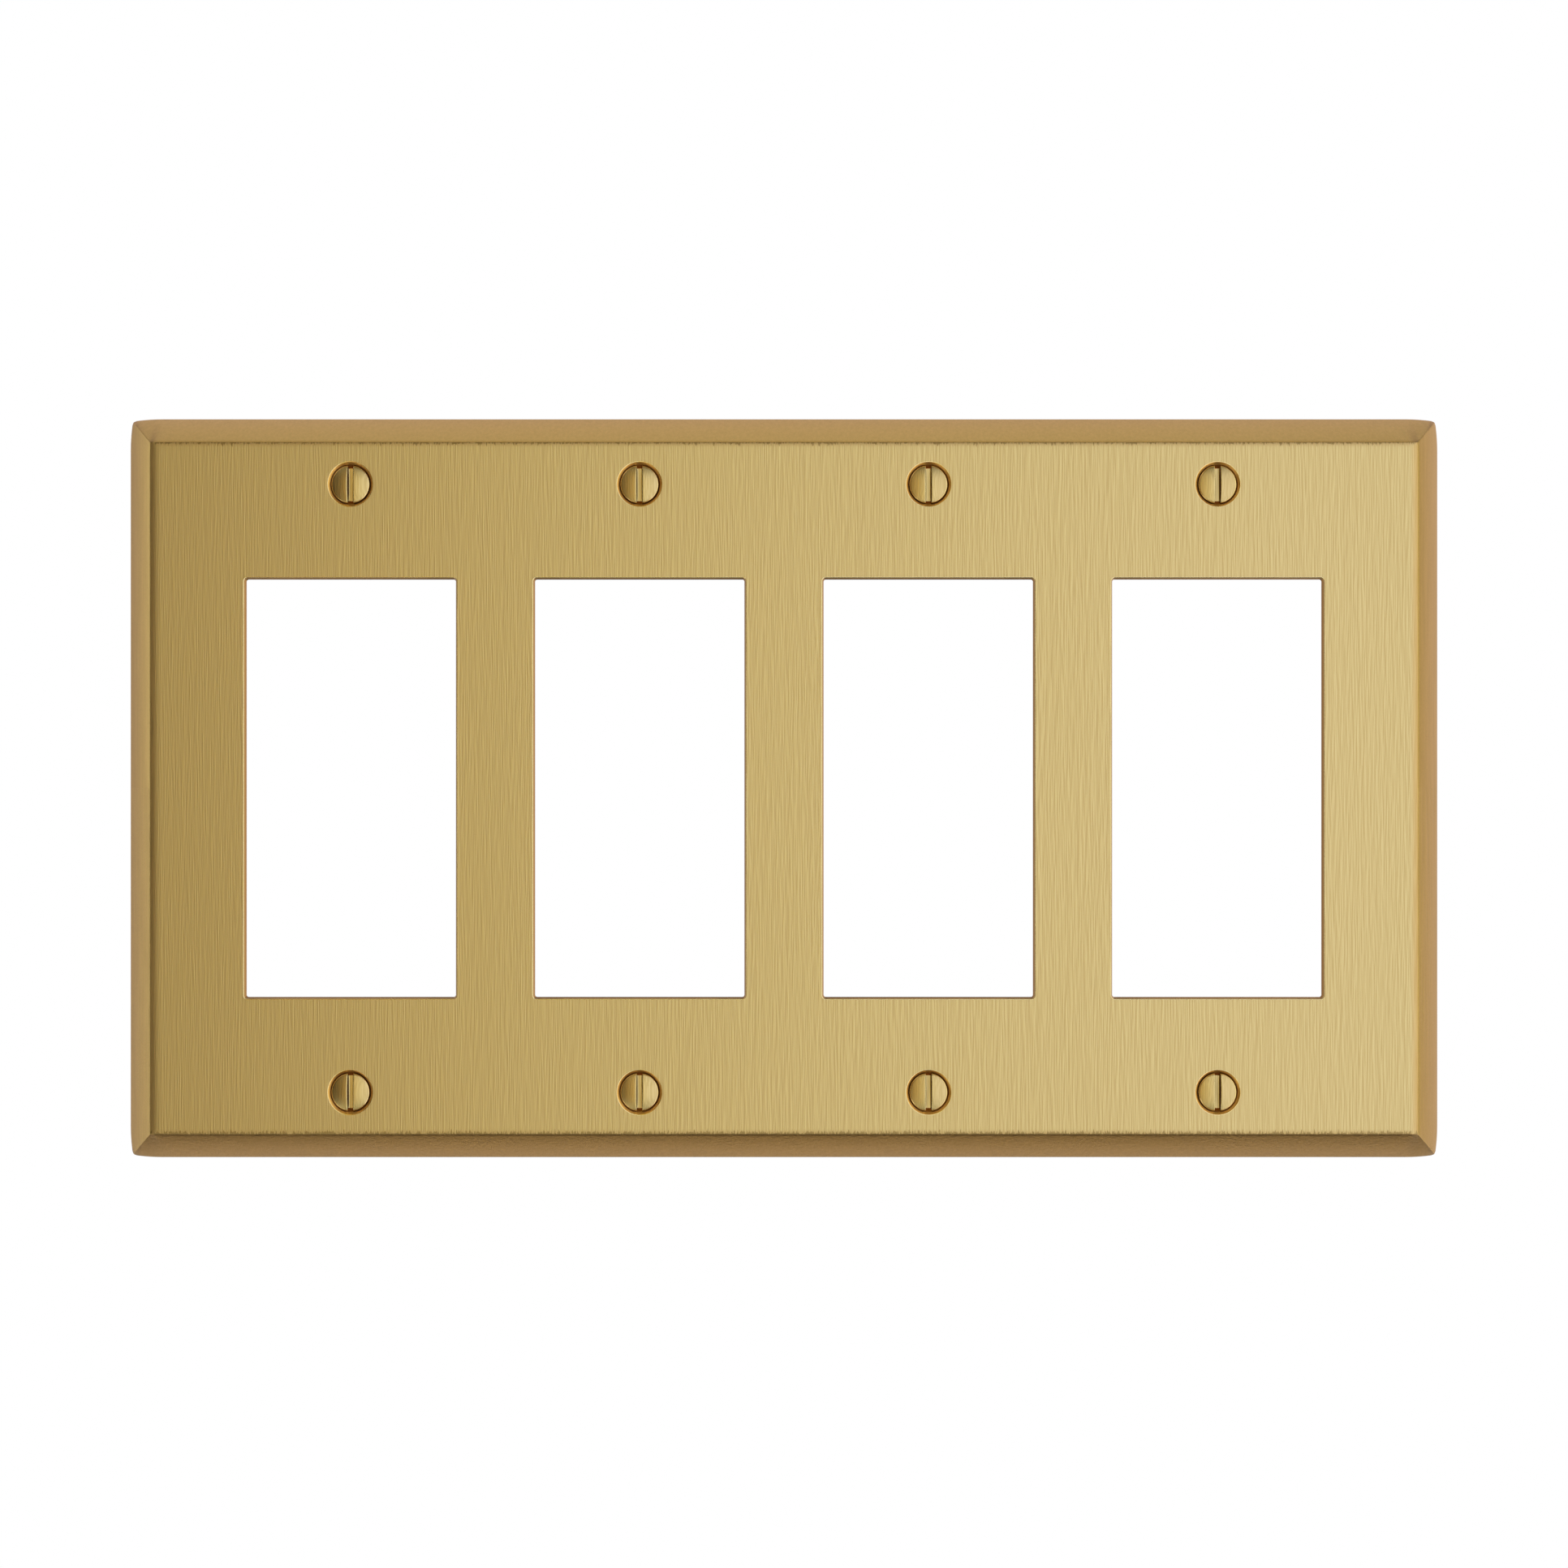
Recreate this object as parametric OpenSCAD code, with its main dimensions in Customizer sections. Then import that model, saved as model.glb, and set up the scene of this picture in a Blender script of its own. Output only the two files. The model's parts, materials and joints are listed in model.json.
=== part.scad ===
// Four-gang decorator wall plate of formed brass sheet, with its eight slotted oval-head screws.
// The front faces -Y, the wall is the plane y = 0, and the origin is the plate's centre on the wall.
// Gangs are counted from 1 at the left, as seen from the front.

/* [Plate] */
// Overall width of the plate, at the wall
plate_w = 210.9; // [208:0.1:216]
// Overall height of the plate, at the wall
plate_h = 119.1; // [116:0.1:128]
// Height of the flat face above the wall
plate_depth = 5.3; // [5:0.1:8]
// Width of the bevelled edge, seen from the front
bevel_w = 4.45; // [4:0.05:6]
// Thickness of the brass sheet
sheet = 1.0; // [0.8:0.05:1.2]
// Outside radius of the shoulder between the face and the bevel
shoulder_r = 0.9; // [0.5:0.1:1.5]
// Height of the square edge that meets the wall
rim_h = 0.4; // [0.2:0.05:0.5]
// Radius of the plate's four outer corners
corner_r = 0.65; // [0.4:0.05:1.5]

/* [Device openings] */
// Distance from one gang to the next
gang_pitch = 46.04; // [46:0.01:46.1]
// Width of each device opening
opening_w = 33.4; // [33.1:0.1:34]
// Height of each device opening
opening_h = 66.6; // [66.4:0.1:67.5]
// Radius of each opening's corners
opening_corner_r = 0.4; // [0.3:0.1:1]

/* [Screw holes] */
// Distance between the upper and the lower row of screws
screw_spacing = 96.84; // [96.5:0.01:97]
// Diameter of the countersink at the face
sink_d = 7.1; // [7:0.1:7.6]
// Full angle of the countersink and of the screw's head
sink_angle = 82; // [80:1:90]
// Diameter of the hole at the bottom of the countersink
hole_d = 4.0; // [3.9:0.1:4.2]
// Length of the straight hole below the countersink
hole_land = 0.4; // [0.3:0.1:0.8]
// Thickness of the sheet drawn down around the countersink
dimple_wall = 0.8; // [0.6:0.1:1]

/* [Screws] */
// Diameter of the screw's head
head_d = 6.05; // [5.8:0.05:6.3]
// Height of the head's domed crown
crown_h = 0.45; // [0.3:0.05:0.6]
// Height of the cylindrical edge below the crown
head_land = 0.3; // [0.1:0.05:0.35]
// Clearance between the head and its countersink, square to the cone
seat_gap = 0.1; // [0.06:0.01:0.12]
// Outside diameter of the number 6 thread
thread_d = 3.505; // [3.4:0.005:3.505]
// Diameter of the plain neck under the head
neck_d = 2.8; // [2.6:0.1:3]
// Length of the screw from the edge of its crown
screw_length = 15.9; // [12.7:0.1:19.1]
// Width of the driver slot
slot_w = 0.9; // [0.8:0.05:1.1]
// Depth of the driver slot below the top of the crown
slot_depth = 1.15; // [0.8:0.05:1.3]

/* [Hidden] */
GANGS = 4;
SHOULDER_STEPS = 6;
CROWN_STEPS = 8;
CUT = 1;
$fn = 64;

// The bevel, and where the inside of the formed sheet runs
bevel_angle = atan2(plate_depth - rim_h, bevel_w);
inner_shoulder_r = max(shoulder_r - sheet, 0.2);
inner_corner_shift = bevel_w + sheet * tan(bevel_angle / 2);
inner_depth = plate_depth - sheet;

// Depths in a screw's place are measured from the face towards the wall
sink_slope = tan(sink_angle / 2);
sink_depth = (sink_d - hole_d) / 2 / sink_slope;
dimple_depth = sink_depth + hole_land;
head_r = head_d / 2;
head_edge = ((sink_d - head_d) / 2 - seat_gap / cos(sink_angle / 2)) / sink_slope;
crown_edge = head_edge - head_land;
crown_top = crown_edge - crown_h;
crown_r = (head_r * head_r + crown_h * crown_h) / 2 / crown_h;
head_bottom = head_edge + (head_r - neck_d / 2) / sink_slope;
thread_start = head_bottom + 0.3;
thread_runout = (thread_d - neck_d) / 2;
tip_chamfer = 0.4;
screw_tip = crown_edge + screw_length;

function gang_x(gang) = (gang - (GANGS + 1) / 2) * gang_pitch;
function mirrored(points) = [for (i = [len(points) - 1 : -1 : 0]) [-points[i][0], points[i][1]]];

// The rounded shoulder whose bevel and face lines meet at [u, v], from the bevel round to the face
function shoulder(u, v, r) = [
    for (i = [0 : SHOULDER_STEPS])
        let (a = 90 - bevel_angle * (1 - i / SHOULDER_STEPS))
        [u - r * tan(bevel_angle / 2) + r * cos(a), v - r + r * sin(a)]
];

// Half of the section across the plate, out to the given half size: outside, then inside
function outer_half(half) = concat(
    [[half, 0], [half, rim_h]],
    shoulder(half - bevel_w, plate_depth, shoulder_r)
);
function inner_half(half) = let (
    u = half - inner_corner_shift,
    foot = u + (inner_depth + CUT) / tan(bevel_angle)
) concat([[foot, -CUT]], shoulder(u, inner_depth, inner_shoulder_r));

// A prism along Z with the given half section, its face towards -Y
module ridge(half_section) {
    linear_extrude(plate_w + plate_h, center = true)
        mirror([0, 1])
        polygon(concat(half_section, mirrored(half_section)));
}

// Two crossed prisms meet in a pan with mitred corners
module pan(section_x, section_z) {
    intersection() {
        ridge(section_x);
        rotate([0, 90, 0]) ridge(section_z);
    }
}

// A bar through the plate with rounded corners, centred on the Y axis
module rounded_bar(w, h, r) {
    depth = plate_depth + 2 * CUT;
    translate([0, -plate_depth / 2, 0]) {
        cube([w - 2 * r, depth, h], center = true);
        cube([w, depth, h - 2 * r], center = true);
        for (x = [-1, 1], z = [-1, 1])
            translate([x * (w / 2 - r), 0, z * (h / 2 - r)])
                rotate([90, 0, 0]) cylinder(h = depth, r = r, center = true);
    }
}

// Puts its children on the face at a screw's place, with their Z axis pointing at the wall
module screw_place(gang, row) {
    translate([gang_x(gang), -plate_depth, row * screw_spacing / 2])
        rotate([-90, 0, 0]) children();
}

module every_screw_place() {
    for (gang = [1 : GANGS], row = [-1, 1])
        screw_place(gang, row) children();
}

// The sheet drawn down behind the face around a countersink
module dimple() {
    wall_r = hole_d / 2 + dimple_wall;
    translate([0, 0, sheet / 2])
        cylinder(h = dimple_depth - sheet / 2, r1 = wall_r + (dimple_depth - sheet / 2) * sink_slope, r2 = wall_r);
}

module countersink() {
    translate([0, 0, -CUT])
        cylinder(h = sink_depth + CUT, r1 = sink_d / 2 + CUT * sink_slope, r2 = hole_d / 2);
    cylinder(h = dimple_depth + CUT, d = hole_d);
}

module wall_plate() {
    color("#c5ac71") difference() {
        union() {
            difference() {
                intersection() {
                    pan(outer_half(plate_w / 2), outer_half(plate_h / 2));
                    rounded_bar(plate_w, plate_h, corner_r);
                }
                pan(inner_half(plate_w / 2), inner_half(plate_h / 2));
            }
            every_screw_place() dimple();
        }
        for (gang = [1 : GANGS])
            translate([gang_x(gang), 0, 0])
                rounded_bar(opening_w, opening_h, opening_corner_r);
        every_screw_place() countersink();
    }
}

// Half of the screw's section: the domed crown, the cone, the neck and the thread's envelope
screw_section = concat(
    [
        for (i = [0 : CROWN_STEPS])
            let (a = asin(head_r / crown_r) * i / CROWN_STEPS)
            [crown_r * sin(a), crown_top + crown_r * (1 - cos(a))]
    ],
    [
        [head_r, head_edge],
        [neck_d / 2, head_bottom],
        [neck_d / 2, thread_start],
        [thread_d / 2, thread_start + thread_runout],
        [thread_d / 2, screw_tip - tip_chamfer],
        [thread_d / 2 - tip_chamfer, screw_tip],
        [0, screw_tip]
    ]
);

module screw(gang, row) {
    color("#b8985a") screw_place(gang, row) difference() {
        rotate_extrude() polygon(screw_section);
        translate([0, 0, crown_top + slot_depth - CUT])
            cube([slot_w, head_d + CUT, 2 * CUT], center = true);
    }
}

wall_plate();
screw(1, 1);  // screw_top_1
screw(2, 1);  // screw_top_2
screw(3, 1);  // screw_top_3
screw(4, 1);  // screw_top_4
screw(1, -1);  // screw_bottom_1
screw(2, -1);  // screw_bottom_2
screw(3, -1);  // screw_bottom_3
screw(4, -1);  // screw_bottom_4
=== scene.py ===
import json
import math

import bmesh
import bpy
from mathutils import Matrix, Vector


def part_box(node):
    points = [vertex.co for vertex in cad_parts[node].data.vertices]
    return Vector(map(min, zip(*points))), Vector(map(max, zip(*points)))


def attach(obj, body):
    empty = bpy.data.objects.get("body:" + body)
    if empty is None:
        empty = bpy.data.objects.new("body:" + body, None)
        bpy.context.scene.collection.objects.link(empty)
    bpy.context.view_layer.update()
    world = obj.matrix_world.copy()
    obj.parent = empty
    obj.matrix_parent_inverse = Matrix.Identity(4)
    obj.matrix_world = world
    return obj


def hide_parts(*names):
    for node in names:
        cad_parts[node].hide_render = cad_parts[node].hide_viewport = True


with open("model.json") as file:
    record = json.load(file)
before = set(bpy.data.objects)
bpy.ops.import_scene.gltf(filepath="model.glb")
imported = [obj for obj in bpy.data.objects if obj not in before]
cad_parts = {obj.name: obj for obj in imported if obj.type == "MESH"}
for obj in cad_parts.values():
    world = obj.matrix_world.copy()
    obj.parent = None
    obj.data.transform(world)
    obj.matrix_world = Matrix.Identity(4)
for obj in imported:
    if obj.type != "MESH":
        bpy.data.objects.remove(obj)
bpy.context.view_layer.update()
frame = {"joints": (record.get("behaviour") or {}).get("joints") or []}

MM = 0.001

# ---------------------------------------------------------------- sizes, in metres
PLATE_LOW, PLATE_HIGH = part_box("wall_plate")
HALF_W = PLATE_HIGH.x
HALF_H = PLATE_HIGH.z
DEPTH = -PLATE_LOW.y              # height of the flat face over the wall
SHEET = 1.0 * MM
RIM_H = 0.4 * MM                  # square edge that meets the wall
RIM_W = 1.0 * MM                  # width of that edge, seen from behind
RIM_ROUND = 0.3 * MM              # rounding between that edge and the bevel
CORNER_R = 0.55 * MM              # outer corners of the plate
CREST_R = 0.1 * MM                # corners of the crease between face and bevel
CREASE = 0.04 * MM                # half the width of the crease
CORNER_PULL = 0.34 * MM           # how far the drawn corners pull in
PULL_LENGTH = 4.5 * MM            # length of edge over which they do
CORNER_FADE = 10                  # power by which the corners sharpen from the rim inwards
BEVEL_W = 4.45 * MM
BEVEL_BULGE = math.radians(5)     # the bevel's slope changes by this much to either side of its mean
SHOULDER_TURN = math.radians(9)   # and by this much more where it eases into the face
SHOULDER_SHARE = 0.10             # over this share of its width
SHOULDER_POWER = 1.5
SIDE_ROLL = (2.0 * MM, 0.29 * MM) # width and drop of the face's roll-off at the left and right creases
END_ROLL = (1.3 * MM, 0.11 * MM)  # and at the top and bottom creases
ROLL_POWER = 3
BACK_FILLET = 0.7 * MM            # reach of the fillet behind the shoulder

OPENING_HALF_W = 16.7 * MM
OPENING_HALF_H = 33.3 * MM
OPENING_R = 0.35 * MM
PUNCH_R = 0.11 * MM               # rolled front edge of a punched opening
PUNCH_FLARE = 0.23 * MM           # how far its sides flare out towards the face
FLARE_DEPTH = 0.6 * MM            # depth over which they do
PUNCH_RISE = 0.012 * MM           # how far the metal stands up along that edge
PUNCH_SPREAD = 0.45 * MM          # and over what width
PUNCH_BULGE = math.radians(40)    # how far the rolled edge turns to either side of its mean slope
BURR_R = 0.1 * MM                 # rounded back edge of an opening
FLAT_BAND = 0.3 * MM              # flat band round an opening, front and back, and above the rim's foot

SINK_R = 3.55 * MM                # countersink at the face
HOLE_R = 2.0 * MM
SINK_HALF_ANGLE = math.radians(41)
HOLE_LAND = 0.4 * MM
LIP = 0.1 * MM                    # reach of the rounded lip round a countersink
DIMPLE_WALL = 0.8 * MM
DIMPLE_NOSE_R = 0.25 * MM         # rounding at the dimple's end
DIMPLE_FILLET = 0.4 * MM          # and at its foot

CROWN_H = 0.45 * MM
HEAD_LAND = 0.3 * MM
HEAD_EDGE_R = 0.15 * MM
HEAD_EDGE_DROP = 0.7              # how far the crown's rim rounds down, as a share of that radius
SLOT_W = 0.9 * MM
SLOT_DEPTH = 1.15 * MM
SLOT_EDGE_R = 0.13 * MM
SLOT_CORNER_R = 0.14 * MM
NECK_R = 1.4 * MM
THREAD_R = 1.7525 * MM
THREAD_ROOT_R = 1.34 * MM
THREAD_PITCH = 0.794 * MM
THREAD_LEAD = 0.3 * MM            # plain neck before the thread
TIP_CHAMFER = 0.4 * MM
TIP_DOME = 0.05 * MM

SCREW_BODIES = [joint["child"] for joint in frame["joints"]]


def place(x, height, z):
    """A point of the plate from its place on the front and its height over the wall."""
    return Vector((x, -height, z))


# ---------------------------------------------------------------- outlines and sections
def arc(start, end, bulge, steps):
    """Points from start to end along a circular arc whose slope is off its mean by bulge at each end."""
    (x0, y0), (x1, y1) = start, end
    chord = math.hypot(x1 - x0, y1 - y0)
    mean = math.atan2(y1 - y0, x1 - x0)
    radius = chord / (2 * math.sin(bulge))
    points = []
    for i in range(steps + 1):
        turn = bulge - 2 * bulge * i / steps
        along = radius * (math.sin(bulge) - math.sin(turn))
        out = radius * (math.cos(turn) - math.cos(bulge))
        points.append((
            x0 + along * math.cos(mean) - out * math.sin(mean),
            y0 + along * math.sin(mean) + out * math.cos(mean),
        ))
    return points


def bend(before, corner, after, steps=5):
    """A rounded corner: the points of a quadratic curve from before to after."""
    points = []
    for i in range(steps + 1):
        t = i / steps
        points.append(tuple(
            (1 - t) ** 2 * a + 2 * t * (1 - t) * b + t * t * c
            for a, b, c in zip(before, corner, after)
        ))
    return points


def towards(a, b, distance):
    """The point that lies at a distance from a on the way to b."""
    length = math.dist(a, b)
    return tuple(p + (q - p) * distance / length for p, q in zip(a, b))


def rounded(before, corner, after, reach, steps):
    """The corner between two neighbours, rounded off over a reach to either side."""
    return bend(towards(corner, before, reach), corner, towards(corner, after, reach), steps)


def box_outline(half_w, half_h, radius, pull=0.0):
    """A rectangle's outline with rounded corners, which the sides curve in to meet by pull."""
    steps_along = [1.0, 0.8, 0.6, 0.45, 0.3, 0.18, 0.08]
    arc_steps = 6

    def pulled(share):
        return pull * (1 - share) ** 2

    quarter = []
    for share in steps_along:
        quarter.append((half_w - pulled(share), half_h - radius - share * PULL_LENGTH))
    for i in range(arc_steps + 1):
        a = math.radians(90) * i / arc_steps
        quarter.append((
            half_w - pull - radius * (1 - math.cos(a)),
            half_h - pull - radius * (1 - math.sin(a)),
        ))
    for share in reversed(steps_along):
        quarter.append((half_w - radius - share * PULL_LENGTH, half_h - pulled(share)))
    left = [(-x, z) for x, z in reversed(quarter)]
    return quarter + left + [(-x, -z) for x, z in quarter] + [(-x, -z) for x, z in left]


def circle_outline(radius, steps=64):
    turns = [2 * math.pi * i / steps for i in range(steps)]
    return [(radius * math.cos(a), radius * math.sin(a)) for a in turns]


# ---------------------------------------------------------------- mesh helpers
def ring(mesh, outline, height, centre=(0.0, 0.0)):
    return [mesh.verts.new(place(centre[0] + x, height, centre[1] + z)) for x, z in outline]


def skin(mesh, rings, material):
    """Joins each ring to the next with a band of faces."""
    for a, b in zip(rings, rings[1:]):
        for i in range(len(a)):
            j = (i + 1) % len(a)
            face = mesh.faces.new((a[i], a[j], b[j], b[i]))
            face.material_index = material


def fill_flat(mesh, borders, material):
    """Fills the flat that lies between an outer ring and the rings inside it."""
    edges = []
    for border in borders:
        for i in range(len(border)):
            edges.append(mesh.edges.get((border[i], border[(i + 1) % len(border)])))
    made = bmesh.ops.triangle_fill(mesh, use_beauty=True, edges=edges)
    for item in made["geom"]:
        if isinstance(item, bmesh.types.BMFace):
            item.material_index = material


BRUSH_UV_SCALE = 10


def finish_mesh(mesh, name, materials, body):
    """Turns a bmesh into a smooth object that rides on a body."""
    bmesh.ops.remove_doubles(mesh, verts=mesh.verts, dist=1e-6)
    bmesh.ops.dissolve_degenerate(mesh, edges=mesh.edges, dist=1e-7)
    bmesh.ops.recalc_face_normals(mesh, faces=mesh.faces)
    brush = mesh.loops.layers.uv.new("brush")
    for face in mesh.faces:
        face.smooth = True
        for loop in face.loops:
            loop[brush].uv = (loop.vert.co.x * BRUSH_UV_SCALE, loop.vert.co.z * BRUSH_UV_SCALE)
    data = bpy.data.meshes.new(name)
    mesh.to_mesh(data)
    mesh.free()
    for material in materials:
        data.materials.append(material)
    piece = bpy.data.objects.new(name, data)
    bpy.context.scene.collection.objects.link(piece)
    weigh = piece.modifiers.new("weighted_normals", "WEIGHTED_NORMAL")
    weigh.keep_sharp = True
    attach(piece, body)
    return piece


# ---------------------------------------------------------------- the wall plate
FACE, EDGE, BACK, RECESS, HIGHLIGHT_EDGE, CUT = 0, 1, 2, 3, 4, 5


def face_height(x, z):
    """Height of the brushed face, which rolls off towards its creases."""
    drops = []
    for gap, (width, drop) in (
        (HALF_W - BEVEL_W - abs(x), SIDE_ROLL),
        (HALF_H - BEVEL_W - abs(z), END_ROLL),
    ):
        drops.append(drop * min(1.0, max(0.0, 1 - gap / width)) ** ROLL_POWER)
    return DEPTH - math.hypot(*drops)


CREST_H = face_height(HALF_W - BEVEL_W, 0.0)


def bevel_slope(share):
    """Slope of the bevel at a share of the way from the wall to the face."""
    mean = math.atan2(CREST_H - RIM_H, BEVEL_W)
    shoulder = max(0.0, (share - 1 + SHOULDER_SHARE) / SHOULDER_SHARE)
    return mean + BEVEL_BULGE * (1 - 2 * share) - SHOULDER_TURN * shoulder ** SHOULDER_POWER


def bevel_section():
    """(inset, height) from the wall up the bevel to the crease at the face's edge."""
    slope = bevel_slope(0.0)
    foot = [(0.1 * MM, 0.0), (0.03 * MM, 0.03 * MM), (0.0, 0.1 * MM)]
    lap = []
    for i in range(5):
        tilt = math.radians(90) + (slope - math.radians(90)) * i / 4
        lap.append((RIM_ROUND * (1 - math.sin(tilt)), RIM_H + RIM_ROUND * math.cos(tilt)))
    start, width, rise = lap[-1], BEVEL_W - lap[-1][0], CREST_H - lap[-1][1]
    steps, crowding = 28, 1.7     # the steps crowd together towards the crease
    shares = [1 - (1 - i / steps) ** crowding for i in range(steps + 1)]
    climbs = [0.0]
    for a, b in zip(shares, shares[1:]):
        climbs.append(climbs[-1] + (b - a) * math.tan(bevel_slope((a + b) / 2)))
    slant = []
    for share, climb in zip(shares, climbs):
        slant.append((start[0] + width * share, start[1] + rise * climb / climbs[-1]))
    return foot + lap + slant[1:]


def roll_insets():
    """Insets from the crease inwards, until the face is flat."""
    steps, crowding = 16, 1.4     # the steps crowd together towards the crease
    spread = [SIDE_ROLL[0] * (i / steps) ** crowding for i in range(2, steps + 1)]
    return [BEVEL_W + CREASE] + [BEVEL_W + gap for gap in spread]


def back_section():
    """(inset, height) behind the sheet, from its flat back down to the rim."""
    flat = DEPTH - SHEET
    slope = math.atan2(DEPTH - RIM_H, BEVEL_W)
    corner = (BEVEL_W + SHEET * math.tan(slope / 2), flat)
    foot = (RIM_W, 0.0)
    start = (corner[0] + BACK_FILLET, flat)
    fillet = bend(start, corner, towards(corner, foot, BACK_FILLET), 8)
    return [(start[0] + BACK_FILLET, flat)] + fillet + [towards(foot, corner, FLAT_BAND), foot]


def border_ring(mesh, inset, height=None):
    """A ring round the plate: on the face, or at a height of the bevel's section at the sides."""
    fade = max(0.0, 1 - inset / BEVEL_W)
    radius = CREST_R + (CORNER_R - CREST_R) * fade ** CORNER_FADE
    verts = []
    for x, z in box_outline(HALF_W - inset, HALF_H - inset, radius, CORNER_PULL * fade):
        crest_x = min(abs(x), HALF_W - BEVEL_W)
        crest_z = min(abs(z), HALF_H - BEVEL_W)
        if height is None:
            verts.append(mesh.verts.new(place(x, face_height(x, z), z)))
        else:
            fitted = height * face_height(crest_x, crest_z) / CREST_H
            verts.append(mesh.verts.new(place(x, fitted, z)))
    return verts


def build_border(mesh):
    """The bevelled border: front, rim and back. Returns the rings that bound the two flats."""
    bevel = [border_ring(mesh, inset, height) for inset, height in bevel_section()]
    roll = [border_ring(mesh, inset) for inset in roll_insets()]
    skin(mesh, bevel, EDGE)
    skin(mesh, [bevel[-1]] + roll, FACE)
    back = [border_ring(mesh, inset, height) for inset, height in back_section()]
    skin(mesh, back, BACK)
    skin(mesh, [back[-1], bevel[0]], EDGE)
    return roll[-1], back[0]


def build_opening(mesh, centre):
    """One punched opening, from the front flat through to the back flat."""
    flat = DEPTH - SHEET
    top = DEPTH + PUNCH_RISE
    edge = PUNCH_FLARE + PUNCH_R
    steepest = edge + 0.2 * MM        # where the raised metal starts to climb
    rise = bend((edge + PUNCH_SPREAD, DEPTH), (steepest, DEPTH), (edge, top), 4)
    front = arc((PUNCH_FLARE, top - PUNCH_R), (edge, top), PUNCH_BULGE, 8)[::-1]
    side = bend(front[-1], (0.0, DEPTH - FLARE_DEPTH), (0.0, flat + BURR_R), 4)
    back = bend((0.0, flat + BURR_R), (0.0, flat), (BURR_R, flat), 3)
    section = [(edge + PUNCH_SPREAD + FLAT_BAND, DEPTH)] + rise + front[1:] + side[1:] + back[1:]
    section.append((BURR_R + FLAT_BAND, flat))
    rings = []
    for grow, height in section:
        outline = box_outline(OPENING_HALF_W + grow, OPENING_HALF_H + grow, OPENING_R + grow)
        rings.append(ring(mesh, outline, height, centre))
    highlight_from = len(rise)
    cut_from = highlight_from + len(front) - 1
    skin(mesh, rings[:highlight_from + 1], FACE)
    # painted highlight on the rolled front edge
    skin(mesh, rings[highlight_from:cut_from + 1], HIGHLIGHT_EDGE)
    skin(mesh, rings[cut_from:], CUT)
    return rings[0], rings[-1]


def build_countersink(mesh, centre):
    """One formed countersink: the lip, the cone, the hole and the dimple behind."""
    flat = DEPTH - SHEET
    fall = 1 / math.tan(SINK_HALF_ANGLE)
    hole_top = (HOLE_R, DEPTH - (SINK_R - HOLE_R) * fall)
    hole_end = (HOLE_R, hole_top[1] - HOLE_LAND)
    rim = (SINK_R, DEPTH)
    boss_end = (HOLE_R + DIMPLE_WALL, hole_end[1])
    boss_foot = (boss_end[0] + (flat - boss_end[1]) / fall, flat)
    lip = bend((SINK_R + LIP, DEPTH), rim, towards(rim, hole_top, LIP), 8)
    highlight_from, cone_from = 2, 4       # the lip carries a painted highlight between these rings
    hole_round, burr = 0.15 * MM, 0.08 * MM
    front_band, back_band = 0.5 * MM, 0.9 * MM
    section = [(SINK_R + LIP + front_band, DEPTH)] + lip
    section += rounded(rim, hole_top, hole_end, hole_round, 3)
    section += rounded(hole_top, hole_end, boss_end, burr, 2)
    boss_start = len(section)
    section += rounded(hole_end, boss_end, boss_foot, DIMPLE_NOSE_R, 4)
    foot_end = (boss_foot[0] + DIMPLE_FILLET, flat)
    section += bend(towards(boss_foot, boss_end, DIMPLE_FILLET), boss_foot, foot_end, 6)
    section.append((boss_foot[0] + back_band, flat))
    rings = [ring(mesh, circle_outline(r), height, centre) for r, height in section]
    skin(mesh, rings[:highlight_from + 1], FACE)
    skin(mesh, rings[highlight_from:cone_from + 1], HIGHLIGHT_EDGE)
    skin(mesh, rings[cone_from:boss_start], RECESS)
    skin(mesh, rings[boss_start - 1:], BACK)
    return rings[0], rings[-1]


def build_plate(materials):
    mesh = bmesh.new()
    borders = [build_border(mesh)]
    for x in sorted({round(screw_centre(body)[0], 6) for body in SCREW_BODIES}):
        borders.append(build_opening(mesh, (x, 0.0)))
    for body in SCREW_BODIES:
        borders.append(build_countersink(mesh, screw_centre(body)))
    fill_flat(mesh, [front for front, back in borders], FACE)
    fill_flat(mesh, [back for front, back in borders], BACK)
    plate = finish_mesh(mesh, "brushed_plate", materials, "plate")
    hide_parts("wall_plate")


# ---------------------------------------------------------------- the screws
HEAD, BRIGHT, CREVICE, HIGHLIGHT_HEAD, RIM = 0, 1, 2, 3, 4
AROUND = 60                       # points round a screw
SLOT_STEPS = 12                   # of which this many cross each end of the slot
HALF_STEPS = AROUND // 2 - SLOT_STEPS


def screw_centre(body):
    low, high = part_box(body)
    return (low.x + high.x) / 2, (low.z + high.z) / 2


def patch(mesh, rows, material, edges=(0, 0), edge_material=0):
    """Faces between neighbouring rows; so many columns at each side may have a material of their own."""
    made = [[mesh.verts.new(p) for p in row] for row in rows]
    columns = len(rows[0]) - 1
    for a, b in zip(made, made[1:]):
        for i in range(columns):
            face = mesh.faces.new((a[i], a[i + 1], b[i + 1], b[i]))
            inside = edges[0] <= i < columns - edges[1]
            face.material_index = material if inside else edge_material


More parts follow.
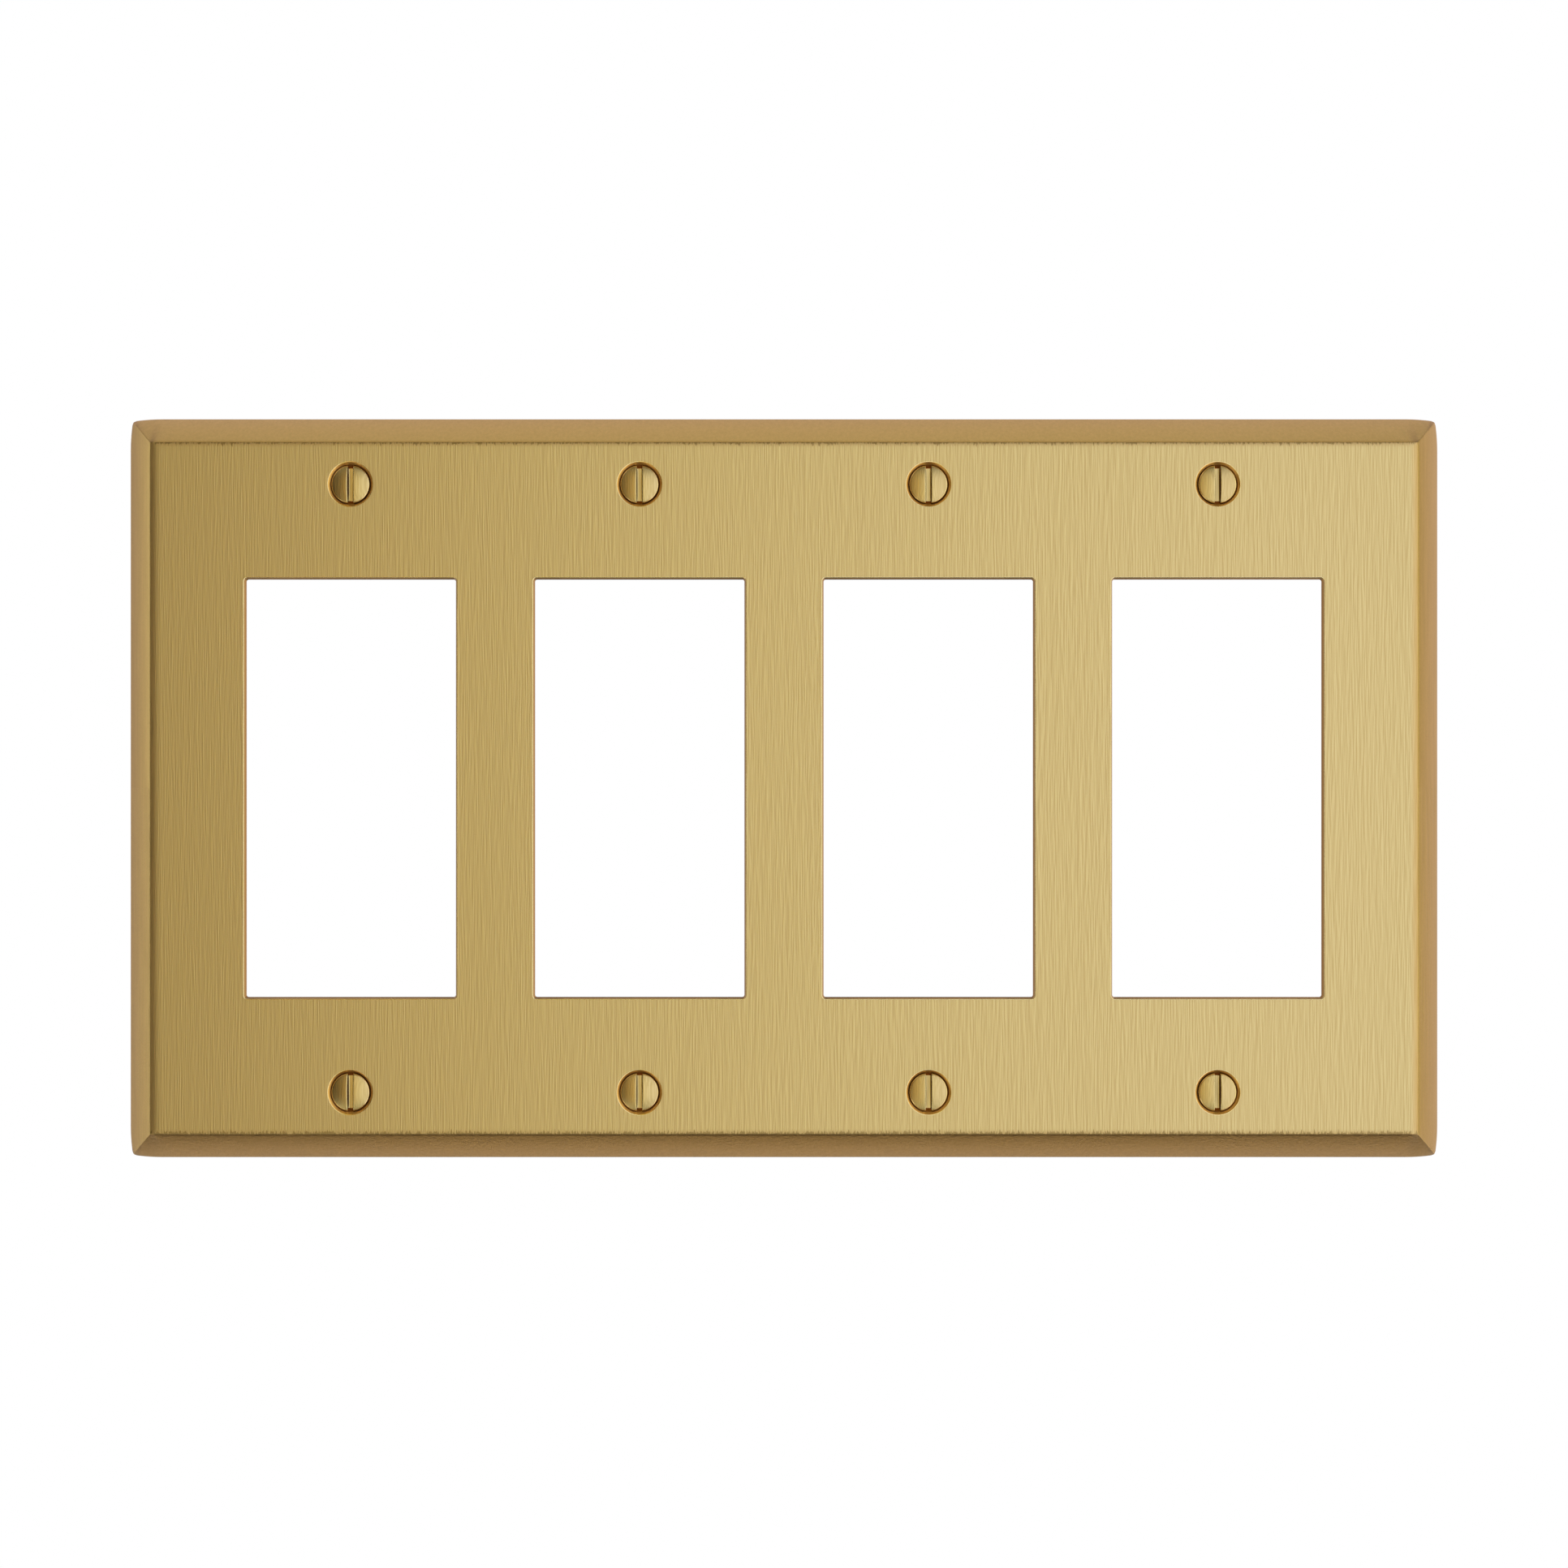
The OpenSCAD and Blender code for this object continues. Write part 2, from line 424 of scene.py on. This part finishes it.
class ScrewShape:
    """The measures of one screw. Depths run from the plate's face towards the wall."""

    def __init__(self, body):
        low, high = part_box(body)
        self.x, self.z = screw_centre(body)
        self.head_r = (high.x - low.x) / 2
        self.top = low.y + DEPTH
        self.tip = high.y + DEPTH
        self.crown_edge = self.top + CROWN_H
        self.head_edge = self.crown_edge + HEAD_LAND
        self.crown_r = (self.head_r ** 2 + CROWN_H ** 2) / (2 * CROWN_H)
        self.floor = self.top + SLOT_DEPTH
        self.neck = self.head_edge + (self.head_r - NECK_R) / math.tan(SINK_HALF_ANGLE)
        self.thread = self.neck + THREAD_LEAD

    def point(self, x, z, depth):
        return place(self.x + x, DEPTH - depth, self.z + z)

    def radius(self, depth):
        """The outside of the head, of its cone, and of the plain neck."""
        if depth <= self.head_edge:
            return self.head_r
        return max(NECK_R, self.head_r - (depth - self.head_edge) * math.tan(SINK_HALF_ANGLE))

    def crown(self, x, z):
        """Depth of the domed crown, rounded off at its rim and along the slot."""
        r = math.hypot(x, z)
        depth = self.top + self.crown_r - math.sqrt(self.crown_r ** 2 - r * r)
        rim = max(0.0, r - (self.head_r - HEAD_EDGE_R)) / HEAD_EDGE_R
        lip = max(0.0, SLOT_W / 2 + SLOT_EDGE_R - abs(x)) / SLOT_EDGE_R
        depth += HEAD_EDGE_DROP * HEAD_EDGE_R * (1 - math.sqrt(max(0.0, 1 - rim * rim)))
        depth += SLOT_EDGE_R * (1 - math.sqrt(max(0.0, 1 - lip * lip)))
        lowest = self.head_edge + 0.05 * MM
        return min(depth, lowest)


def half_angles(shape, depth):
    """Angles round the right half of the head, between the two ends of the slot."""
    gap = math.asin(SLOT_W / 2 / shape.radius(depth))
    first, last = gap - math.pi / 2, math.pi / 2 - gap
    return [first + (last - first) * i / HALF_STEPS for i in range(HALF_STEPS + 1)]


def slot_columns():
    """Places across the slot's floor, closer together by its walls."""
    turns = [math.pi * (i / SLOT_STEPS - 0.5) for i in range(SLOT_STEPS + 1)]
    return [SLOT_W / 2 * math.sin(a) for a in turns]


def floor_depth(shape, x, share):
    """Depth of the slot's floor, which curves up to the walls except at its two ends."""
    end_power = 12
    corner = max(0.0, abs(x) - SLOT_W / 2 + SLOT_CORNER_R) / SLOT_CORNER_R
    rise = SLOT_CORNER_R * (1 - math.sqrt(max(0.0, 1 - corner * corner)))
    return shape.floor - rise * (1 - abs(share) ** end_power)


def head_half(mesh, shape, side):
    """One side of the slotted head: its crown, its outer edge and its wall of the slot."""
    edge = shape.head_r
    widest = 0.45                     # of the crown's span, for each rounded side of it
    highlight_columns = 5
    rows = []
    for angle in half_angles(shape, shape.crown_edge):
        z = edge * math.sin(angle)
        span = edge * math.cos(angle) - SLOT_W / 2
        lip = min(SLOT_EDGE_R, span * widest)
        rim = min(HEAD_EDGE_R * 1.2, span * widest)
        offsets = [lip * (1 - math.cos(math.radians(15 * i))) for i in range(7)]
        offsets += [lip + (span - lip - rim) * share for share in (0.1, 0.25, 0.5, 0.75, 0.9)]
        offsets += [span - rim * (1 - math.sin(math.radians(15 * i))) for i in range(7)]
        row = []
        for offset in offsets:
            x = SLOT_W / 2 + offset
            row.append(shape.point(side * x, z, shape.crown(x, z)))
        rows.append(row)
    # painted highlight along the head's rim and the slot's edges
    patch(mesh, rows, HEAD, (highlight_columns, highlight_columns), HIGHLIGHT_HEAD)

    rim = [row[-1] for row in rows]
    wall_top = [row[0] for row in rows]
    outside, wall = [rim], [wall_top]
    depths = [shape.head_edge + (shape.floor - shape.head_edge) * i / 4 for i in range(5)]
    for depth in depths:
        r = shape.radius(depth)
        angles = half_angles(shape, depth)
        outside.append([shape.point(side * r * math.cos(a), r * math.sin(a), depth) for a in angles])
        row = []
        for a in angles:
            lowest = floor_depth(shape, SLOT_W / 2, math.sin(a) / math.sin(angles[-1]))
            row.append(shape.point(side * SLOT_W / 2, r * math.sin(a), min(depth, lowest)))
        wall.append(row)
    patch(mesh, outside, RIM)
    patch(mesh, wall, CREVICE)


def slot_floor(mesh, shape):
    """The slot's floor, whose ends follow the head's cone."""
    r = shape.radius(shape.floor)
    angles = half_angles(shape, shape.floor)
    rows = []
    for angle in angles:
        reach = r * math.sin(angle)
        share = reach / (r * math.sin(angles[-1]))
        row = []
        for x in slot_columns():
            end = math.sqrt(r * r - x * x)
            row.append(shape.point(x, end * share, floor_depth(shape, x, share)))
        rows.append(row)
    patch(mesh, rows, HEAD)


def floor_turns(shape):
    """Angles once round the screw at the depth of the slot's floor."""
    r = shape.radius(shape.floor)
    right = half_angles(shape, shape.floor)
    xs = [-x for x in slot_columns()[1:-1]]
    upper = [math.acos(x / r) for x in xs]
    left = [a + math.pi for a in right]
    return right + upper + left + [a + math.pi for a in upper]


def thread_radius(share):
    """The thread's radius over one pitch, from root to crest and back, with a flat at each."""
    steepness, root_flat = 1.25, 0.08
    rise = min(1.0, max(0.0, (0.5 - abs(share - 0.5)) / 0.5 * steepness - root_flat))
    return THREAD_ROOT_R + (THREAD_R - THREAD_ROOT_R) * rise


def shank_envelope(shape, depth):
    """The largest radius that the shank has at a depth."""
    run_in = shape.thread + (THREAD_R - NECK_R)
    if depth < run_in:
        return NECK_R + max(0.0, depth - shape.thread)
    return min(THREAD_R, THREAD_R - TIP_CHAMFER + (shape.tip - depth))


def build_shank(mesh, shape):
    """The head's cone below the slot, the neck, the helical thread and the tip."""
    start = floor_turns(shape)
    even = [start[0] + 2 * math.pi * i / AROUND for i in range(AROUND)]
    rows = []
    blend_steps = 5
    for i in range(blend_steps + 1):
        t = i / blend_steps
        depth = shape.floor + (shape.neck - shape.floor) * t
        r = shape.radius(depth)
        turns = [a + (b - a) * t for a, b in zip(start, even)]
        rows.append([shape.point(r * math.cos(a), r * math.sin(a), depth) for a in turns])
    rows.append([shape.point(NECK_R * math.cos(a), NECK_R * math.sin(a), shape.thread) for a in even])
    patch(mesh, [row + row[:1] for row in rows], BRIGHT)

    profile = [0.0, 0.1, 0.3, 0.44, 0.5, 0.56, 0.7, 0.9, 1.0]
    turns = math.ceil((shape.tip - shape.thread) / THREAD_PITCH) + 2
    rows = []
    for step in range(turns * AROUND + 1):
        angle = even[0] + 2 * math.pi * step / AROUND
        row = []
        for share in profile:
            depth = shape.thread + THREAD_PITCH * (step / AROUND + share - 2)
            depth = min(max(depth, shape.thread), shape.tip)
            r = min(thread_radius(share), shank_envelope(shape, depth))
            if depth in (shape.thread, shape.tip):
                r = shank_envelope(shape, depth)
            row.append(shape.point(r * math.cos(angle), r * math.sin(angle), depth))
        rows.append(row)
    patch(mesh, rows, BRIGHT)

    r = shank_envelope(shape, shape.tip)
    ends = [
        [shape.point(k * r * math.cos(a), k * r * math.sin(a), shape.tip - (1 - k) * TIP_DOME) for a in even]
        for k in (1.0, 0.8, 0.4, 0.0)
    ]
    patch(mesh, [row + row[:1] for row in ends], BRIGHT)


def build_screw(body, materials):
    mesh = bmesh.new()
    shape = ScrewShape(body)
    for side in (-1, 1):
        head_half(mesh, shape, side)
    slot_floor(mesh, shape)
    build_shank(mesh, shape)
    screw = finish_mesh(mesh, body + "_threaded", materials, body)
    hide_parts(body)


# ---------------------------------------------------------------- materials
def new_material(name):
    material = bpy.data.materials.new(name)
    material.use_nodes = True
    tree = material.node_tree
    shader = tree.nodes["Principled BSDF"]
    return material, tree, shader


def node(tree, kind, inputs=None, **settings):
    """A node with its settings, and its inputs set to values or linked to sockets."""
    made = tree.nodes.new(kind)
    for key, value in settings.items():
        setattr(made, key, value)
    for key, value in (inputs or {}).items():
        if isinstance(value, bpy.types.NodeSocket):
            tree.links.new(value, made.inputs[key])
        else:
            made.inputs[key].default_value = value
    return made


def stretched_noise(tree, across, along, detail=2.0, warp=0.0, seed=0.0, shift=0.0):
    """Noise in strokes that are across wide and along tall, both in metres."""
    place_in = node(tree, "ShaderNodeTexCoord").outputs["Object"]
    if warp:
        waver = node(tree, "ShaderNodeTexNoise", {"Vector": place_in, "Scale": 90.0, "Detail": 1.0})
        wander = node(
            tree, "ShaderNodeVectorMath",
            {0: waver.outputs["Color"], 1: (warp, 0.0, 0.0)}, operation="MULTIPLY",
        )
        place_in = node(
            tree, "ShaderNodeVectorMath", {0: place_in, 1: wander.outputs[0]}, operation="ADD",
        ).outputs[0]
    scaled = node(tree, "ShaderNodeMapping", {
        "Vector": place_in,
        "Location": (seed + shift / across, seed * 1.7, seed * 0.3),
        "Scale": (1 / across, 1 / across, 1 / along),
    })
    return node(tree, "ShaderNodeTexNoise", {
        "Vector": scaled.outputs[0], "Scale": 1.0, "Detail": detail, "Roughness": 0.6,
    }).outputs["Fac"]


def ramp(tree, value, low, high, out_low=0.0, out_high=1.0):
    return node(tree, "ShaderNodeMapRange", {
        "Value": value, "From Min": low, "From Max": high, "To Min": out_low, "To Max": out_high,
    }).outputs["Result"]


def mix_colour(tree, factor, first, second):
    mixed = node(tree, "ShaderNodeMix", data_type="RGBA")
    sockets = {0: factor, 6: first, 7: second}
    for index, value in sockets.items():
        if isinstance(value, bpy.types.NodeSocket):
            tree.links.new(value, mixed.inputs[index])
        else:
            mixed.inputs[index].default_value = value
    return mixed.outputs[2]


def math_node(tree, operation, first, second=0.0):
    return node(tree, "ShaderNodeMath", {0: first, 1: second}, operation=operation).outputs[0]


def weighted_sum(tree, first, first_weight, second, second_weight):
    parts = [
        math_node(tree, "MULTIPLY", value, weight)
        for value, weight in ((first, first_weight), (second, second_weight))
    ]
    return math_node(tree, "ADD", *parts)


def mottle_roughness(tree, shader, mottle, roughness):
    """Lets the roughness vary a little with the mottle."""
    rough = ramp(tree, mottle, 0.3, 0.7, roughness - ROUGHNESS_SPREAD, roughness + ROUGHNESS_SPREAD)
    tree.links.new(rough, shader.inputs["Roughness"])


def lacquer(shader):
    """A thin clear coat over the metal."""
    shader.inputs["Coat Weight"].default_value = 0.25
    shader.inputs["Coat Roughness"].default_value = 0.3


ROUGHNESS_SPREAD = 0.04
SIDE_SHADE = (1.2 * MM, 0.85)     # width and strength of the painted shade, in brown, at the left and right creases
END_SHADE = (0.8 * MM, 0.5)       # and at the top and bottom creases
BRASS_DARK = (0.66, 0.490, 0.217, 1.0)
BRASS_LIGHT = (0.74, 0.588, 0.281, 1.0)
# painted shade along the upper and lower creases, ragged where the brush strokes run out
PAINTED_RAGGED_SHADE = (0.36, 0.235, 0.085, 1.0)
# painted shade at the face's creases
PAINTED_BROWN_AT_CREASES = (0.66, 0.39, 0.145, 1.0)
# painted shade for the slot walls and the gap round a screw's head
GAP_SHADE = (0.10, 0.020, 0.004, 1.0)
# painted shade deep in a countersink
SINK_SHADE = (0.62, 0.28, 0.075, 1.0)
# painted shade down the cut wall of an opening
CUT_WALL_SHADE = (0.56, 0.31, 0.10, 1.0)


def brush_strokes(tree):
    """The height of fine upright strokes; two shifted copies of a noise cancel its slow swell."""
    width, length, detail, waver, shift = 0.15 * MM, 5 * MM, 0.5, 0.12 * MM, 0.2 * MM
    strokes = stretched_noise(tree, width, length, detail, waver)
    shifted = stretched_noise(tree, width, length, detail, waver, 0.0, shift)
    broad = stretched_noise(tree, 0.8 * MM, 30 * MM, 0.0, 0.3 * MM, 7.0)
    speckle = stretched_noise(tree, 0.12 * MM, 0.3 * MM, 1.0, 0.0, 13.0)
    sharp = math_node(tree, "SUBTRACT", strokes, shifted)
    soft = weighted_sum(tree, broad, 0.06, speckle, 0.12)
    return math_node(tree, "ADD", math_node(tree, "ADD", sharp, soft), 0.41)


def below_middle(tree):
    """1 on the lower half of the plate and 0 on the upper half."""
    spot = node(tree, "ShaderNodeSeparateXYZ", {0: node(tree, "ShaderNodeTexCoord").outputs["Object"]})
    return math_node(tree, "LESS_THAN", spot.outputs["Z"], 0.0)


def crease_gap(tree, axis, half):
    """Distance in from the face's creases, across one axis of the plate."""
    spot = node(tree, "ShaderNodeSeparateXYZ", {0: node(tree, "ShaderNodeTexCoord").outputs["Object"]})
    return math_node(tree, "SUBTRACT", half - BEVEL_W, math_node(tree, "ABSOLUTE", spot.outputs[axis]))


def painted_crease_shade(tree):
    """How strongly painted shade browns the face: most at its creases, fading out over the rolled part beside
    them.
    """
    side = ramp(tree, crease_gap(tree, "X", HALF_W), 0.0, *SIDE_SHADE, 0.0)
    end = ramp(tree, crease_gap(tree, "Z", HALF_H), 0.0, *END_SHADE, 0.0)
    return math_node(tree, "MAXIMUM", side, end)


def stroke_ends_and_shade(tree):
    """1 where the strokes run out and painted shade darkens the face, in a ragged line along the upper and,
    further in, the lower crease.
    """
    raggedness, lower_reach = 2.6 * MM, 0.22 * MM
    all_ended, none_ended = 1.28 * MM, 1.5 * MM
    gap = crease_gap(tree, "Z", HALF_H)
    ragged = stretched_noise(tree, 0.3 * MM, 2 * MM, 2.0, 0.0, 11.0)
    shifted = math_node(tree, "ADD", gap, math_node(tree, "MULTIPLY", ragged, raggedness))
    longer = math_node(tree, "MULTIPLY", below_middle(tree), lower_reach)
    return ramp(tree, math_node(tree, "SUBTRACT", shifted, longer), all_ended, none_ended, 1.0, 0.0)


def brushed_brass(name, colour_low, colour_high, roughness, anisotropy, depth, with_crease_shade=False):
    """Satin brass with fine upright brush strokes."""
    material, tree, shader = new_material(name)
    strokes = brush_strokes(tree)
    colour = mix_colour(tree, ramp(tree, strokes, 0.2, 0.8), colour_low, colour_high)
    if with_crease_shade:
        # painted shade: the face turns brown towards its creases
        colour = mix_colour(tree, painted_crease_shade(tree), colour, PAINTED_BROWN_AT_CREASES)
        # painted shade in a ragged line where the strokes run out at the upper and lower creases
        ends = math_node(tree, "MULTIPLY", stroke_ends_and_shade(tree), 0.8)
        colour = mix_colour(tree, ends, colour, PAINTED_RAGGED_SHADE)
    tree.links.new(colour, shader.inputs["Base Color"])
    rough = ramp(tree, strokes, 0.3, 0.7, roughness + ROUGHNESS_SPREAD, roughness - ROUGHNESS_SPREAD)
    tree.links.new(rough, shader.inputs["Roughness"])
    bump = node(tree, "ShaderNodeBump", {"Height": strokes, "Strength": 1.0, "Distance": depth})
    tree.links.new(bump.outputs[0], shader.inputs["Normal"])
    along = node(tree, "ShaderNodeTangent", direction_type="UV_MAP", uv_map="brush")
    tree.links.new(along.outputs[0], shader.inputs["Tangent"])
    shader.inputs["Metallic"].default_value = 1.0
    shader.inputs["Anisotropic"].default_value = anisotropy
    lacquer(shader)
    return material


def satin_brass(name, colour_low, colour_high, roughness, lower_mottle=0.5):
    """Smooth satin brass with a fine mottle, which may be stronger on the lower half of the plate."""
    material, tree, shader = new_material(name)
    mottle = stretched_noise(tree, 0.24 * MM, 0.3 * MM, 3.0)
    streak = stretched_noise(tree, 0.5 * MM, 12 * MM, 2.0, 0.2 * MM, 5.0)
    surface = weighted_sum(tree, mottle, 0.5, streak, 0.5)
    colour = mix_colour(tree, ramp(tree, surface, 0.3, 0.7), colour_low, colour_high)
    tree.links.new(colour, shader.inputs["Base Color"])
    mottle_roughness(tree, shader, mottle, roughness)
    height = math_node(tree, "MULTIPLY", surface, ramp(tree, below_middle(tree), 0.0, 1.0, 0.5, lower_mottle))
    bump = node(tree, "ShaderNodeBump", {"Height": height, "Strength": 1.0, "Distance": 0.02 * MM})
    tree.links.new(bump.outputs[0], shader.inputs["Normal"])
    shader.inputs["Metallic"].default_value = 1.0
    lacquer(shader)
    return material


def recess_brass(name, colour_low, colour_high, roughness, shade_colour, shade_from, shade_to, metallic=1.0):
    """Satin brass that turns into a colour of painted shade between two depths below the plate's face."""
    material, tree, shader = new_material(name)
    mottle = stretched_noise(tree, 0.2 * MM, 0.2 * MM, 3.0)
    metal = mix_colour(tree, ramp(tree, mottle, 0.3, 0.7), colour_low, colour_high)
    spot = node(tree, "ShaderNodeSeparateXYZ", {0: node(tree, "ShaderNodeTexCoord").outputs["Object"]})
    depth = math_node(tree, "ADD", spot.outputs["Y"], DEPTH)
    uneven = math_node(tree, "ADD", depth, math_node(tree, "MULTIPLY", mottle, 0.08 * MM))
    # painted shade: darker deeper down
    depth_shade = ramp(tree, uneven, shade_from, shade_to)
    tree.links.new(mix_colour(tree, depth_shade, metal, shade_colour), shader.inputs["Base Color"])
    mottle_roughness(tree, shader, mottle, roughness)
    bump = node(tree, "ShaderNodeBump", {"Height": mottle, "Strength": 0.2, "Distance": 0.02 * MM})
    tree.links.new(bump.outputs[0], shader.inputs["Normal"])
    shader.inputs["Metallic"].default_value = metallic
    return material


def matte_white(name):
    material, tree, shader = new_material(name)
    shader.inputs["Base Color"].default_value = (0.86, 0.86, 0.86, 1.0)
    shader.inputs["Roughness"].default_value = 0.9
    return material


# ---------------------------------------------------------------- light, floor and camera
LIGHT_DISTANCE = 1.3
FLOOR_DROP = 0.75                 # how far the floor lies below the plate's centre
FLOOR_HALF = 1.2

# name: azimuth to the right of the front, elevation, width and height in degrees, then red, green and blue.
# The colours come from a least-squares fit, changed by up to 0.2. The places, the sizes and the
# colours of high_left, high_right, low_left and low_right were chosen.
SOFTBOXES = {
    "left_rear": (-134, 0, 66, 64, (0.44, 0.40, 0.41)),
    "left_strip": (-91, 0, 16, 64, (1.34, 1.50, 1.14)),
    "warm_edge": (-16, 0, 10, 64, (0.95, 0.42, 0.0)),
    "warm_card": (-7, 0, 8, 64, (0.95, 0.98, 0.08)),
    "key_near": (6, 0, 18, 64, (1.29, 1.38, 1.44)),
    "key": (39, 0, 48, 64, (1.08, 1.10, 1.23)),
    "key_far": (72, 0, 18, 64, (1.20, 1.42, 0.80)),
    "right_side": (90, 0, 18, 64, (0.36, 0.32, 0.03)),
    "right_rear": (134, 0, 70, 64, (0.78, 0.72, 0.70)),
    "high_left": (-60, 42, 40, 20, (0.60, 0.60, 0.50)),
    "high_right": (60, 42, 40, 20, (0.60, 0.60, 0.60)),
    "low_left": (-60, -42, 40, 20, (1.20, 1.20, 1.00)),
    "low_front": (0, -42, 80, 20, (0.40, 0.44, 0.38)),
    "low_right": (60, -42, 40, 20, (1.50, 1.50, 1.50)),
    "overhead_front": (0, 79, 50, 11, (0.84, 0.72, 0.18)),
    "overhead": (0, 90, 50, 11, (0.75, 0.88, 0.92)),
    "overhead_rear": (0, 101, 50, 11, (0.38, 0.40, 0.05)),
    "upper_rear": (180, 62, 110, 36, (0.63, 0.58, 0.65)),
    "lower_rear": (180, -62, 110, 36, (0.54, 0.54, 0.57)),
    "floor_rear": (0, -101, 50, 11, (0.63, 0.50, 0.10)),
}


def softbox(name, azimuth, elevation, width, height, colour):
    """A soft light in a direction from the plate; the colour holds its brightness too."""
    light = bpy.data.lights.new(name, "AREA")
    light.shape = "RECTANGLE"
    light.size = 2 * LIGHT_DISTANCE * math.tan(math.radians(width / 2))
    light.size_y = 2 * LIGHT_DISTANCE * math.tan(math.radians(height / 2))
    light.energy = math.pi * light.size * light.size_y
    light.color = colour
    lamp = bpy.data.objects.new(name, light)
    turn, lift = math.radians(azimuth), math.radians(elevation)
    out = Vector((math.sin(turn) * math.cos(lift), -math.cos(turn) * math.cos(lift), math.sin(lift)))
    lamp.location = out * LIGHT_DISTANCE
    lamp.rotation_mode = "QUATERNION"
    lamp.rotation_quaternion = out.to_track_quat("Z", "Y")
    lamp.visible_camera = False
    bpy.context.scene.collection.objects.link(lamp)


def build_world():
    """White where the camera sees it, and a dim warm room to everything else."""
    world = bpy.data.worlds.new("studio")
    bpy.context.scene.world = world
    world.use_nodes = True
    tree = world.node_tree
    tree.nodes.clear()
    seen = node(tree, "ShaderNodeBackground", {"Color": (1.0, 1.0, 1.0, 1.0), "Strength": 1.0})
    room = node(tree, "ShaderNodeBackground", {"Color": (0.01, 0.008, 0.005, 1.0), "Strength": 1.0})
    path = node(tree, "ShaderNodeLightPath")
    both = node(tree, "ShaderNodeMixShader", {
        0: path.outputs["Is Camera Ray"], 1: room.outputs[0], 2: seen.outputs[0],
    })
    node(tree, "ShaderNodeOutputWorld", {"Surface": both.outputs[0]})


def build_floor():
    mesh = bmesh.new()
    bmesh.ops.create_grid(mesh, x_segments=4, y_segments=4, size=FLOOR_HALF)
    data = bpy.data.meshes.new("floor")
    mesh.to_mesh(data)
    mesh.free()
    data.materials.append(matte_white("pale_floor"))
    floor = bpy.data.objects.new("floor", data)
    floor.location = (0.0, 0.0, -FLOOR_DROP)
    bpy.context.scene.collection.objects.link(floor)
    floor.visible_glossy = False


def build_camera():
    camera_data = bpy.data.cameras.new("camera")
    camera_data.lens = 50.0
    camera_data.sensor_width = 36.0
    camera_data.clip_start = 0.01
    camera = bpy.data.objects.new("camera", camera_data)
    view_distance = 0.3467
    rise = 0.68 * MM
    camera.location = (0.0, -DEPTH - view_distance, rise)
    camera.rotation_euler = (math.radians(90), 0.0, 0.0)
    bpy.context.scene.collection.objects.link(camera)
    bpy.context.scene.camera = camera


def build_lights():
    for name, setting in SOFTBOXES.items():
        softbox(name, *setting)


bpy.context.scene.view_settings.view_transform = "Standard"
build_world()
build_floor()
build_camera()
build_lights()

face = brushed_brass("brushed_face", BRASS_DARK, BRASS_LIGHT, 0.46, 0.5, 0.0138 * MM, with_crease_shade=True)
edge = satin_brass("satin_edge", (0.60, 0.37, 0.145, 1.0), (0.72, 0.45, 0.19, 1.0), 0.38, 4.0)
raw = satin_brass("raw_back", (0.50, 0.34, 0.12, 1.0), (0.66, 0.47, 0.19, 1.0), 0.45)
# painted reflection and painted shade: the cone's strong orange stands in for light bounced between the brass
# cones, and the cone darkens deeper down where the gap round the head is shaded
recess = recess_brass(
    "countersink", (0.93, 0.54, 0.16, 1.0), (0.99, 0.61, 0.20, 1.0), 0.46, SINK_SHADE, 0.40 * MM, 0.56 * MM,
)
# painted shade: the cut wall of an opening turns browner from 0.2 mm below the face
cut = recess_brass(
    "cut_edge", (0.66, 0.43, 0.16, 1.0), (0.76, 0.51, 0.21, 1.0), 0.35, CUT_WALL_SHADE, 0.2 * MM, 0.3 * MM,
)
head = brushed_brass("brushed_head", (0.62, 0.45, 0.18, 1.0), (0.70, 0.53, 0.235, 1.0), 0.40, 0.3, 0.008 * MM)
# painted highlight: lighter brass on the rolled edges of the openings and the lips of the countersinks
edge_highlight_brass = satin_brass("painted_edge_highlight", (0.80, 0.62, 0.30, 1.0), (0.90, 0.74, 0.42, 1.0), 0.24)
# painted highlight: lighter brass on the rounded rim of a screw's head and along its slot
head_highlight_brass = satin_brass("painted_head_highlight", (0.78, 0.60, 0.28, 1.0), (0.88, 0.71, 0.38, 1.0), 0.24)
# painted shade: the slot's walls turn near-black from just above the level of the plate's face downwards,
# where shade falls inside the slot
crevice = recess_brass(
    "slot_wall", (0.50, 0.30, 0.09, 1.0), (0.60, 0.38, 0.12, 1.0), 0.6, GAP_SHADE, -0.16 * MM, -0.04 * MM, 0.15,
)
# painted shade: the head's side and cone turn near-black from 0.24 mm below the face, where the gap round the
# head is shaded
rim = recess_brass(
    "head_rim", (0.72, 0.48, 0.18, 1.0), (0.82, 0.56, 0.22, 1.0), 0.4, GAP_SHADE, 0.24 * MM, 0.36 * MM,
)
bright = satin_brass("bright_screw", (0.62, 0.43, 0.15, 1.0), (0.74, 0.53, 0.2, 1.0), 0.26)

build_plate([face, edge, raw, recess, edge_highlight_brass, cut])
for screw_body in SCREW_BODIES:
    build_screw(screw_body, [head, bright, crevice, head_highlight_brass, rim])
